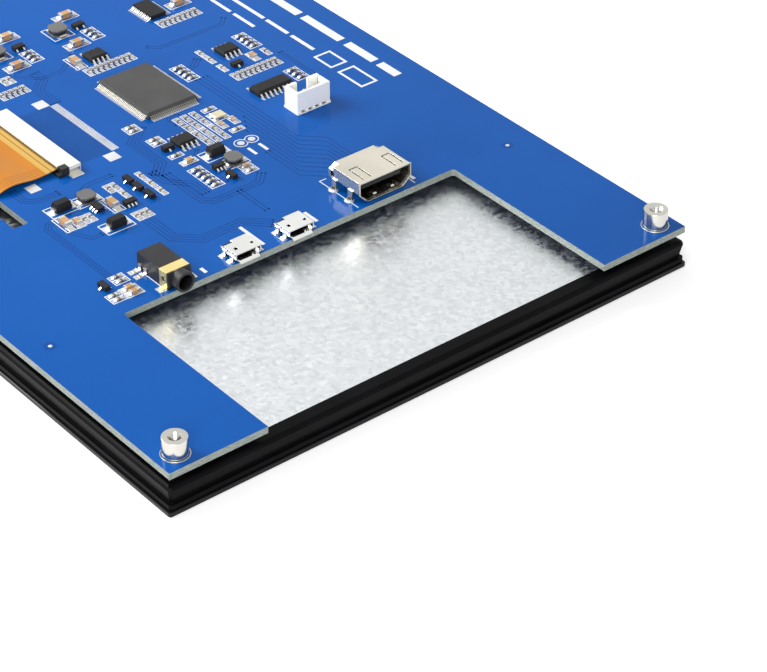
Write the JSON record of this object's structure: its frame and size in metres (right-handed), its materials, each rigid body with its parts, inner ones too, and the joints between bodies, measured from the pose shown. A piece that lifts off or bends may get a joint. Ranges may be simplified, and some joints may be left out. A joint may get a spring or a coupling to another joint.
{
  "type": "touchscreen display module",
  "caption": "Bare touchscreen display lying on its glass: black framed panel, metal back plate, blue driver board with a cut-out, standoffs, sockets, ribbon and chips.",
  "frame": {"origin": "bottom centre of the overall box, on the front face of the glass, which lies face down", "axes": "+X along the long side towards the short edge with the board's cut-out, +Y across towards the long edge at the video socket, +Z out of the back"},
  "size_m": [0.2354, 0.1384, 0.0159],
  "materials": {
    "screen_glass": "polished, printed black on its back outside the picture area",
    "clear_glass": "clear",
    "black_tape": "matt black tape",
    "black_frame": "satin black moulding",
    "dark_glass": "dark polarised glass",
    "white_sheet": "satin white film",
    "clear_guide": "clear acrylic with a dot print",
    "white_board": "white solder mask",
    "lamp": "pale yellow lamp faces",
    "zinc_steel": "zinc-coated sheet with a mottled spangle",
    "foam": "black foam tape",
    "blue_board": "glossy blue solder mask with pale resin edges",
    "plated_brass": "bright tin plating on brass",
    "ivory_plastic": "ivory heat-proof plastic",
    "dark_plastic": "charcoal moulding",
    "lead_metal": "tin-plated leads",
    "amber_film": "amber polyimide with darker copper lines",
    "nickel_sheet": "bright nickel plating",
    "gold_contact": "gold plated contacts",
    "yellow_brass": "yellow satin brass",
    "white_nylon": "white nylon",
    "chip_plastic": "dark grey moulded chip bodies",
    "coil_grey": "grey ferrite",
    "coil_dark": "black glued ferrite",
    "tan_ceramic": "tan ceramic",
    "resistor_ceramic": "dark glaze between tinned ends",
    "crystal_cap": "pale gold metal lid"
  },
  "bodies": {
    "display": {"cover_glass": "screen_glass", "touch_sensor": "clear_glass", "glass_tape": "black_tape", "display_frame": "black_frame", "lcd_cell": "dark_glass", "diffuser_sheets": "white_sheet", "light_guide": "clear_guide", "reflector_sheet": "white_sheet", "light_strip": "white_board", "light_strip_lamps": "lamp", "back_plate": "zinc_steel", "foam_pads": "foam", "circuit_board": "blue_board", "standoffs": "plated_brass", "ribbon_connector": "ivory_plastic", "ribbon_connector_contacts": "lead_metal", "ribbon_connector_anchors": "lead_metal", "display_ribbon": "amber_film", "touch_ribbon": "amber_film", "touch_connector": "ivory_plastic", "video_socket_shell": "nickel_sheet", "video_socket_insert": "dark_plastic", "video_socket_contacts": "gold_contact", "micro_socket_shells": "nickel_sheet", "micro_socket_inserts": "dark_plastic", "micro_socket_contacts": "lead_metal", "audio_jack_body": "dark_plastic", "audio_jack_collar": "yellow_brass", "audio_jack_terminals": "lead_metal", "wire_header": "white_nylon", "wire_header_pins": "lead_metal", "scaler_chip": "chip_plastic", "scaler_chip_leads": "lead_metal", "small_chips": "chip_plastic", "small_chip_leads": "lead_metal", "transistors": "chip_plastic", "transistor_leads": "lead_metal", "diodes": "chip_plastic", "diode_tabs": "lead_metal", "coil_bases": "coil_grey", "coil_drums": "coil_dark", "coil_tops": "coil_grey", "capacitors": "tan_ceramic", "capacitor_ends": "lead_metal", "chip_resistors": "resistor_ceramic", "crystal": "crystal_cap"},
    "lock": {"ribbon_lock": "dark_plastic"}
  },
  "joints": [
    {"name": "ribbon_lock_slide", "type": "slide", "parent": "display", "child": "lock", "axis": [0, -1, 0], "range_m": [0, 0.0012]}
  ]
}
